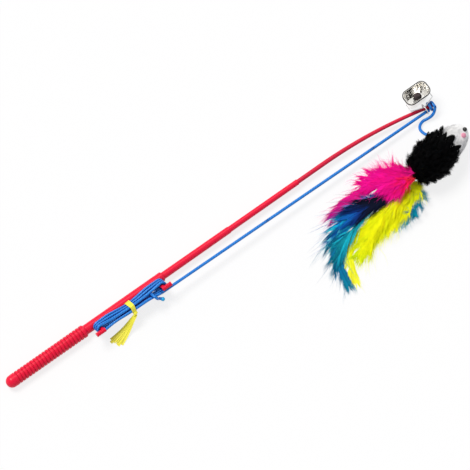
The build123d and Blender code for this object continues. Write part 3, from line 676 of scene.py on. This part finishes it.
def plume_part(draw, route, widths, shades, count, angle, puff, thick, stray, wild, curl=0.15, wisps=0.05,
               tones=(0.84, 1.26), gather=0.75):
    """One feather: a tapering shaft along a smooth line, and barbs that leave it on both sides at an
    angle and bend toward the tip by the curl. Barbs cling together in locks, which share their side,
    length, angle, rise and tone, and gather at their tips. Puff makes the locks' rise differ, stray their
    lengths, wild their angles and waves, tones their tone, and wisps is the share of long, thin, loose
    barbs."""
    shaft = spaced(smooth_line(route), 24)
    far = distances(shaft)

    def along(table, places):
        """A table's values at shares of the shaft."""
        return np.stack([np.interp(places * far[-1], far, column) for column in table.T], -1)

    # Each lock has a seat on the shaft, and its barbs' roots lie close to it.
    locks = count // LOCK_BARBS
    lock = draw.integers(0, locks, count)
    seat = draw.uniform(0.02, 0.98, locks)
    share = np.clip(seat[lock] + draw.normal(0, 0.025, count), 0.0, 1.0)
    root, heart = along(shaft, share), along(shaft, seat)[lock]
    way = unit(along(unit(np.gradient(shaft, axis=0)), seat))[lock]
    side = unit(np.cross(UP, way)) * np.where(draw.random(locks) < 0.5, -1.0, 1.0)[lock][:, None]
    over = unit(np.cross(way, np.cross(UP, way)))
    # Loose barbs reach half as far again and lean more freely; they are thinner and lighter.
    loose = draw.random(count) < wisps
    wide = np.interp(seat, np.linspace(0, 1, len(widths)), widths)
    wide = (wide * draw.uniform(1 - 2 * stray, 1 + stray, locks))[lock] * draw.uniform(0.8, 1.06, count)
    wide = (wide * np.where(loose, 1.55, 1.0))[:, None]
    lean = 1 + draw.normal(0, wild, locks)[lock] + draw.normal(0, 1, count) * np.where(loose, 0.4, 0.06)
    lean = np.clip(np.radians(angle) * lean, 0.06, 1.6)[:, None, None]
    # Four points a barb: out by its lean less the curl, on by the rest plus the curl, with a rise and a wave.
    step = np.array([0.0, 0.3, 0.65, 1.0])[None, :, None]
    reach = (wide / np.sin(np.radians(angle)))[:, None]
    sway = (draw.normal(0, puff, locks)[lock] + 0.25 * puff * draw.normal(0, 1, count))[:, None] * wide
    wave = np.sin(2.2 * np.pi * step + draw.uniform(0, 2 * np.pi, locks)[lock][:, None, None]) * step
    lines = root[:, None] + gather * step * (heart - root)[:, None] + reach * (
        side[:, None] * (np.sin(lean) * (step - curl * step ** 2) + 0.28 * wild * wave)
        + way[:, None] * np.cos(lean) * (step + curl * step ** 2)
    ) + over[:, None] * sway[:, None] * step * (1.4 - 0.4 * step)
    lines[..., 1] = short_of_cord(lines)
    lines[..., 2] = np.maximum(lines[..., 2], TABLE + 0.25)
    # The tint follows the shades along the shaft and a little along the barb.
    tone = draw.uniform(*tones, locks)[lock] * draw.uniform(0.92, 1.08, count)
    tone = (tone * np.where(loose, 1.2, 1.0))[:, None, None]
    stops = np.linspace(0, 1, len(shades))
    at = share[:, None] + 0.12 * step[..., 0] + draw.normal(0, 0.05 + 0.05 * wild, locks)[lock][:, None]
    mixed = np.stack([np.interp(at, stops, [shade[i] for shade in shades]) for i in range(3)], -1)
    tints = np.concatenate([np.clip(mixed * tone, 0, 1), np.ones((count, 4, 1))], -1)
    thick = np.array([1.0, 0.9, 0.6]) * thick * np.where(loose, 0.55, 1.0)[:, None]
    middle = (*shades[len(shades) // 2][:3], 1.0)
    stem = tube_part(shaft, np.linspace(0.4, 0.12, len(shaft)), UP, sides=6, tint=middle)
    return [strands_part(lines, thick, tints, over), stem]


def ribbon_part(line, width, thickness, across):
    """A flat strip along a line: a flattened eight-cornered ring, wide across and thin over."""
    tangent = unit(np.gradient(line, axis=0))
    wide = np.broadcast_to(across, line.shape)
    wide = unit(wide - (wide * tangent).sum(-1, keepdims=True) * tangent)
    over = np.cross(tangent, wide)
    corner = np.array([
        (1, 0), (0.8, 0.5), (0, 0.62), (-0.8, 0.5), (-1, 0), (-0.8, -0.5), (0, -0.62), (0.8, -0.5)])
    half = np.broadcast_to(width, len(line))[:, None, None] / 2
    ring = wide[:, None] * corner[:, :1] * half + over[:, None] * corner[:, 1:] * thickness
    return grid_part(line[:, None] + ring, along=distances(line) * MM, smooth=False)


def cord_piece(name, line, reference, material, diameter):
    """A round cord along a line."""
    return add_piece(name, [tube_part(line, diameter / MM / 2, reference)], material)


def dress(nodes, material):
    """Gives CAD pieces that keep their shape one finish."""
    for name in nodes:
        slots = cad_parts[name].data.materials
        slots.clear()
        slots.append(material)


class WAND_OT_stage(bpy.types.Operator):
    """White floor, even sky, one soft key light and the camera at the photograph's angle"""
    bl_idname = "wand.stage"
    bl_label = "Stage"

    def execute(self, context):
        settings = context.scene.wand_stage
        context.scene.view_settings.view_transform = "Standard"

        # Seamless paper: matt white; the camera sees it nearly white, with the shadow kept.
        material, add = new_material("white_paper")
        part = add("Math", {0: seen_rays(add), 1: 0.8}, operation="MULTIPLY")
        paper = add("BsdfDiffuse", {"Color": linear("#FDFDFF")})
        glow = add("Emission", {"Color": linear("#FFFFFF"), "Strength": 1.0})
        finish_material(material, add("MixShader", {0: part, 1: paper, 2: glow}))
        edge = [-FLOOR_HALF, FLOOR_HALF]
        ground = np.stack([*np.meshgrid(edge, edge), np.full((2, 2), TABLE)], axis=-1)
        add_piece("floor", [grid_part(ground, wrap=False)], material)

        context.scene.world = bpy.data.worlds.new("studio")
        add = empty_tree(context.scene.world)
        even = add("Background", {"Color": linear("#F6F8FF"), "Strength": settings.sky})
        white = add("Background", {"Color": linear("#FFFFFF"), "Strength": 1.0})
        add("OutputWorld", {"Surface": add("MixShader", {0: seen_rays(add), 1: even, 2: white})})

        light = bpy.data.lights.new("key", "SUN")
        light.energy = settings.sun
        light.angle = np.radians(24)
        light.color = linear("#FFFCF6")[:3]
        # From the picture's upper left, high over the table.
        toward = unit(-0.55 * PICTURE_RIGHT + 0.45 * PICTURE_AWAY + 1.25 * UP)
        self.aim("key", light, toward, KEY_PLACE)

        camera = bpy.data.cameras.new("camera")
        camera.type = "ORTHO"
        camera.ortho_scale = PICTURE_WIDTH
        camera.clip_end = 10.0
        back = np.sin(PICTURE_TILT) * UP - np.cos(PICTURE_TILT) * PICTURE_AWAY
        context.scene.camera = self.aim("camera", camera, back, PICTURE_MIDDLE * MM + back)
        return {"FINISHED"}

    @staticmethod
    def aim(name, data, back, place):
        """Adds a lamp or a camera at a place in metres: its own Z points back, and its own Y away."""
        across = unit(np.cross(PICTURE_AWAY, back))
        rows = np.stack([across, np.cross(back, across), back, place], axis=1)
        thing = bpy.data.objects.new(name, data)
        bpy.context.scene.collection.objects.link(thing)
        thing.matrix_world = Matrix(rows.tolist() + [[0, 0, 0, 1]])
        return thing


class WAND_OT_plastic(bpy.types.Operator):
    """Moulded red handle, butt cap, sliding sections and tip"""
    bl_idname = "wand.plastic"
    bl_label = "Moulded rod"

    def execute(self, context):
        settings = context.scene.wand_plastic
        red, deep = settings.red, settings.red_deep
        # In each finish the last colour is the painted shade in grooves.
        material = moulded_abs("moulded_red_abs", red, linear("#EE123C"), linear("#C00C30"))
        dress(["handle", "butt_cap", "rod_section_lower", "rod_section_middle"], material)
        dress(["rod_tip"], moulded_abs("moulded_deep_red_abs", deep, linear("#D2183E"), linear("#A80E2E")))
        return {"FINISHED"}


class WAND_OT_cords(bpy.types.Operator):
    """Blue elastic cord: hank and cut end, taut runs, hitch at the tip and slack drop to the toy"""
    bl_idname = "wand.cords"
    bl_label = "Elastic cord"

    def execute(self, context):
        settings = context.scene.wand_cord
        wide = settings.diameter
        material = braided_elastic("braided_elastic", settings.light, settings.deep, wide)

        hank = smooth_line(hank_route())
        piece = cord_piece("elastic_hank", hank, POST_OUT, material, wide)
        # The cut end is melted into a pale bead: half rings that swell and close round the line's end.
        swell = np.linspace(0, np.pi, 9)
        bead = hank[0] + np.outer(0.5 - 2.0 * np.cos(swell), unit(hank[0] - hank[3]))
        # The melted bead's finish: its last colour is the painted shade in grooves.
        melt = add_piece(
            "melted_end", [tube_part(bead, 1.95 * np.sin(swell) + 0.02, POST_OUT)],
            moulded_abs("melted_polyester", linear("#2FC6F2"), linear("#1E9FE6"), linear("#1478C8")))
        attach(melt, "handle")
        self.declare(piece, hank[::-1], HANK_LENGTH, "bare", "coiled", "cord_hank", "cord_stub", ends=[melt])
        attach(piece, "handle")

        nodes = ("cord_run_lower", "cord_run_middle", "cord_run_tip")
        for number, node in enumerate(nodes):
            shares = np.linspace(RUN_SHARES[number], RUN_SHARES[number + 1], 4)[:, None]
            run = smooth_line(RUN_START + shares * (RUN_END - RUN_START))
            piece = cord_piece(node.replace("cord", "elastic"), run, UP, material, wide)
            long = (RUN_SHARES[number + 1] - RUN_SHARES[number]) * np.linalg.norm(RUN_END - RUN_START) * MM
            self.declare(piece, run, long, "object", "taut", node)
            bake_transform(piece)

        # Twelve points a turn, on a figure drawn about the turn's circle.
        turns = np.linspace(-0.25, 1.5, 22)
        angle = 2 * np.pi * turns - np.pi / 2
        wrap = HITCH_RADIUS / np.cos(np.pi / 12)
        helix = (
            HITCH_BASE + HITCH_WAY * HITCH_PITCH * turns[:, None]
            + HITCH_SIDE * wrap * np.cos(angle)[:, None] + UP * wrap * np.sin(angle)[:, None]
        )
        hitch = smooth_line(np.vstack([[HITCH_START], helix, [DROP_WAY[0]]]))
        piece = cord_piece("elastic_hitch", hitch, HITCH_WAY, material, wide)
        self.declare(piece, hitch, HITCH_LENGTH, "object", "coiled", "cord_tip_wrap")
        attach(piece, "rod_tip")

        drop = smooth_line(DROP_WAY)
        piece = cord_piece("elastic_drop", drop, UP + PICTURE_RIGHT * 0.2, material, wide)
        self.declare(piece, drop, DROP_LENGTH, "object", "loose", "cord_drop")
        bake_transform(piece)
        return {"FINISHED"}

    @staticmethod
    def declare(piece, line, length, far_end, lay, *nodes, ends=()):
        """Hides the solids that a cord stands for."""
        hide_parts(*nodes)


class WAND_OT_tie(bpy.types.Operator):
    """Yellow raffia tie: turns round the hank's waist, a knot, and tails spread on the table"""
    bl_idname = "wand.tie"
    bl_label = "Raffia tie"

    def execute(self, context):
        material = raffia("paper_raffia", context.scene.wand_cord.tie)
        draw = np.random.default_rng(11)
        # Three turns round the waist, each a closed strip a little beside the last.
        turn = np.linspace(0, 2 * np.pi, 41)
        square = np.maximum(np.abs(np.cos(turn)), np.abs(np.sin(turn))) ** 0.75
        parts = []
        for number in range(3):
            x = TIE_X + (number - 1) * 1.25 + 0.35 * np.sin(turn + number)
            across = (3.4 + 0.12 * number) * np.cos(turn) / square
            level = TIE_LEVEL + (5.85 + 0.12 * number) * np.sin(turn) / square
            line = np.outer(x, WAND_WAY) + np.outer(across, POST_ACROSS) + np.outer(level, POST_OUT)
            parts.append(ribbon_part(line, 2.1, 0.3, WAND_WAY))
        stand_for(add_piece("raffia_band", parts, material), "tie_band", "handle")

        knot = TIE_KNOT
        way = unit(TIE_TAIL_END - knot * [1, 1, 0])
        across = np.array([-way[1], way[0], 0.0])
        parts = []
        # The knot: two crossed loops of strip between the band and the tails.
        ring = np.linspace(0, 2 * np.pi, 21)[:, None]
        neck = unit(hank_place(TIE_X, -3.0, 15.8) - knot)
        over = unit(np.cross(neck, WAND_WAY))
        for lean, reach in ((0.5, 1.9), (-0.6, 1.6)):
            loop = np.cos(ring) * WAND_WAY + 0.8 * np.sin(ring) * over
            loop = knot + neck * (1.4 + lean * np.sin(ring)) + reach * loop
            parts.append(ribbon_part(loop, 1.7, 0.3, neck))
        tongue = np.stack([hank_place(TIE_X, -2.6, 16.8), knot + neck * 1.5, knot + way * 2.0 - UP * 0.4])
        parts.append(ribbon_part(spaced(tongue, 8), np.linspace(3.6, 2.4, 8), 0.9, WAND_WAY))
        # The tails: each falls from the knot to the table and runs out in a fan.
        middle = (TIE_TAILS - 1) / 2
        for number in range(TIE_TAILS):
            fan = (number - middle) / middle + draw.normal(0, 0.05)
            length = 30.0 + draw.uniform(-3.0, 2.5)
            fall = TABLE + 0.35 + 0.3 * (number % 3) - knot[2]
            route = np.array([
                knot + across * fan * 0.7,
                knot + way * 5.0 + across * fan * 1.5 - UP * 2.4,
                knot + way * 11.0 + across * fan * 2.4 + UP * (fall + 4.2),
                knot + way * 19.0 + across * (fan * 4.0 + draw.normal(0, 0.3)) + UP * (fall + 0.5),
                knot + way * length + across * (fan * 5.4 + draw.normal(0, 0.5)) + UP * fall,
            ])
            parts.append(ribbon_part(spaced(smooth_line(route), 22), np.linspace(1.6, 2.9, 22), 0.14, across))
        stand_for(add_piece("raffia_tails", parts, material), "tie_tails", "handle")
        return {"FINISHED"}


class WAND_OT_bell(bpy.types.Operator):
    """Nickel bell with a rolled lip, its wire bail and ring, the staple and the dark clapper"""
    bl_idname = "wand.bell"
    bl_label = "Bell"

    def execute(self, context):
        # Nickel plate on pressed steel: a warm grey mirror with a dull film.
        nickel = plated_metal("nickel_plate", linear("#FFFEFC"), linear("#E6E3DC"), 0.16, 0.26)
        # Drawn steel wire: bright grey with drawing marks.
        wire = plated_metal("drawn_steel_wire", linear("#DCDDDE"), linear("#B4B5B7"), 0.22, 0.4)
        # Cast iron, blackened: dark and dull with a few bright rubs.
        iron = plated_metal("blackened_iron", linear("#151314"), linear("#4A4142"), 0.3, 0.55)
        dress(["bell_shell"], nickel)
        dress(["bell_bail", "bell_ring", "clapper_staple"], wire)
        dress(["clapper"], iron)

        # The rolled lip follows the mouth: a rectangle 25 by 15 mm with 5.6 mm corners.
        turn = (np.arange(96) + 0.5) * 2 * np.pi / 96
        corner = np.stack([np.cos(turn), np.sin(turn)], -1)
        mouth = np.sign(corner) * MOUTH_STRAIGHT + MOUTH_CORNER * corner
        seam = [[MOUTH_STRAIGHT[0] + MOUTH_CORNER, 0.0]]
        mouth = np.vstack([seam, mouth, seam]) @ np.eye(2, 3) + MOUTH_MIDDLE
        # Painted dark reflection on the lip: near-black metal outlines the mouth.
        dark_lip_reflection = plated_metal("worn_nickel_edge", linear("#1A1A1B"), linear("#4E4B47"), 0.3, 0.5)
        lip = add_piece("bell_lip", [tube_part(mouth, 0.6, UP, sides=10)], dark_lip_reflection)
        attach(lip, "bell")
        return {"FINISHED"}


class WAND_OT_mouse(bpy.types.Operator):
    """Toy mouse: black fur body, white fur head, bead eyes, felt nose and the thread at its tail"""
    bl_idname = "wand.mouse"
    bl_label = "Fur mouse"

    def execute(self, context):
        settings = context.scene.wand_mouse
        draw = np.random.default_rng(5)
        black, white = np.array(settings.black), np.array(settings.white)
        hair = dyed_strands("dyed_rabbit_fur", 0.6, 0.0, 0.04, 0.3)
        fleece = dyed_strands("bleached_rabbit_fur", 0.8, 1.0, 0.3, 0.01)

        # Body: the hair is combed to the back and the head.
        comb = unit(0.62 * PICTURE_RIGHT + 0.6 * PICTURE_AWAY + 0.1 * UP)
        tint = np.tile(black, (settings.body_hairs, 1))
        tint[draw.random(len(tint)) < 0.1] = linear("#0B0709")
        tint[draw.random(len(tint)) < 0.06] = linear("#030D12")
        coat = fur_part(
            BODY_EGG, draw, tint, settings.body_length / MM, comb, lift=0.5, limits=(-0.99, 0.68), clumps=520,
            gather=0.6, spread=0.2, sunk=BODY_SKIN, tones=(0.4, 1.3), guard=0.07)
        # Tufts over the neck: locks drawn to points.
        comb = unit(0.5 * PICTURE_RIGHT + 0.75 * PICTURE_AWAY + 0.15 * UP)
        tint = np.tile(black, (settings.tuft_hairs, 1))
        tufts = fur_part(
            BODY_EGG, draw, tint, settings.tuft_length / MM, comb, lift=0.25, limits=(0.3, 0.74), clumps=44,
            gather=0.9, spread=0.15, sunk=BODY_SKIN, tones=(0.4, 1.3), guard=0.0)
        lines, tints, out = (np.concatenate(pair) for pair in zip(coat, tufts))
        body = add_piece("mouse_fur_body", [
            egg_part(BODY_EGG, black, BODY_SKIN),
            strands_part(lines, np.array([0.26, 0.22, 0.14]), tints, out)], hair)
        stand_for(body, "mouse_body", "lure")

        # Head: short white hair, none over the eyes and the nose.
        tint = np.tile(white, (settings.head_hairs, 1))
        lines, tints, out = fur_part(
            HEAD_EGG, draw, tint, settings.head_length / MM, -MOUSE_WAY, lift=0.22, limits=(-0.35, 0.99),
            clumps=900, gather=0.22, spread=0.16, sunk=HEAD_SKIN, tones=(0.97, 1.0), guard=0.03)
        clear = np.ones(len(tint), bool)
        for node in ("mouse_eyes", "mouse_nose"):
            verts = np.empty(len(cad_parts[node].data.vertices) * 3)
            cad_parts[node].data.vertices.foreach_get("co", verts)
            # Every fifteenth point is near enough; hairs stay 1.1 mm off them.
            verts = verts.reshape(-1, 3)[::15] / MM
            near = ((lines[:, :, None] - verts) ** 2).sum(-1).min(axis=(1, 2))
            clear &= near > 1.1 ** 2
        head = add_piece("mouse_fur_head", [
            egg_part(HEAD_EGG, white, HEAD_SKIN),
            strands_part(lines[clear], np.array([0.2, 0.18, 0.1]), tints[clear], out[clear])], fleece)
        stand_for(head, "mouse_head", "lure")

        dress(["mouse_eyes"], bead_acrylic("black_acrylic_bead"))
        dress(["mouse_nose"], pressed_felt("pressed_pink_felt", linear("#F3A9C0"), linear("#DD83A2")))
        dress(["mouse_core"], pressed_felt("stuffing_fibre", linear("#E8E4DC"), linear("#CFC9BD")))

        # Thread wound on the quills: a round bar whose radius rises over each turn of thread.
        along = np.linspace(*THREAD_REACH, 90)[:, None]
        turn = np.linspace(0, 2 * np.pi, 28, endpoint=False)
        wave = along / THREAD_SPACING + turn / (2 * np.pi)
        radius = THREAD_RADIUS + THREAD_HEIGHT * np.abs(np.sin(np.pi * wave))
        points = mouse_place(-along, radius * np.cos(turn), radius * np.sin(turn))
        waxed = pressed_felt("waxed_thread", linear("#3A1420"), linear("#1B0D12"))
        stand_for(add_piece("thread_binding", [grid_part(points)], waxed), "tail_binding", "lure")
        return {"FINISHED"}


class WAND_OT_feathers(bpy.types.Operator):
    """Dyed feathers in a fan: marabou, flat vanes and a fringe, each on its own shaft"""
    bl_idname = "wand.feathers"
    bl_label = "Feathers"

    def execute(self, context):
        settings = context.scene.wand_feathers
        dyes = {name: linear(code) for name, code in DYES.items()}
        dyes |= {name: tuple(getattr(settings, name)) for name in WandFeatherSettings.__annotations__}
        materials = {
            "down": dyed_strands("dyed_marabou_down", 0.8, 0.0, 0.05, 0.08),
            "vane": dyed_strands("dyed_feather_vane", 0.6, 0.0, 0.05, 0.08),
        }
        draw = np.random.default_rng(23)
        for name, (node, slot, kind, shared, plumes) in FEATHERS.items():
            parts = []
            for plume in plumes:
                shades = [dyes[shade] for shade in plume["shades"].split()]
                parts += plume_part(draw, **{**shared, **plume, "shades": shades})
            stand_for(add_piece(name, parts, materials[kind]), node, "lure")
        return {"FINISHED"}


class WAND_PT_panel(bpy.types.Panel):
    """Lists the wand's pieces and their settings"""
    bl_label = "Cat teaser wand"
    bl_space_type = "VIEW_3D"
    bl_region_type = "UI"
    bl_category = "Wand"

    def draw(self, context):
        for operator in OPERATORS:
            self.layout.operator(operator.bl_idname)
        for name, group in SETTINGS.items():
            box = self.layout.box()
            box.label(text=group.__doc__)
            for key in group.__annotations__:
                box.prop(getattr(context.scene, name), key)


SETTINGS = {
    "wand_cord": WandCordSettings, "wand_plastic": WandPlasticSettings, "wand_mouse": WandMouseSettings,
    "wand_feathers": WandFeatherSettings, "wand_stage": WandStageSettings,
}
OPERATORS = (
    WAND_OT_stage, WAND_OT_cords, WAND_OT_plastic, WAND_OT_tie, WAND_OT_bell, WAND_OT_mouse, WAND_OT_feathers,
)


def register():
    """Registers the settings, the operators and the panel."""
    for name, group in SETTINGS.items():
        bpy.utils.register_class(group)
        setattr(bpy.types.Scene, name, bpy.props.PointerProperty(type=group))
    for operator in OPERATORS:
        bpy.utils.register_class(operator)
    bpy.utils.register_class(WAND_PT_panel)


def unregister():
    """Takes back what register did, in the opposite order."""
    bpy.utils.unregister_class(WAND_PT_panel)
    for operator in reversed(OPERATORS):
        bpy.utils.unregister_class(operator)
    for name, group in reversed(SETTINGS.items()):
        delattr(bpy.types.Scene, name)
        bpy.utils.unregister_class(group)


def main():
    """Registers the classes and makes every piece in order."""
    register()
    bpy.ops.wand.stage()
    bpy.ops.wand.cords()
    bpy.ops.wand.plastic()
    bpy.ops.wand.tie()
    bpy.ops.wand.bell()
    bpy.ops.wand.mouse()
    bpy.ops.wand.feathers()
    bpy.context.view_layer.update()


if __name__ == "__main__":
    main()
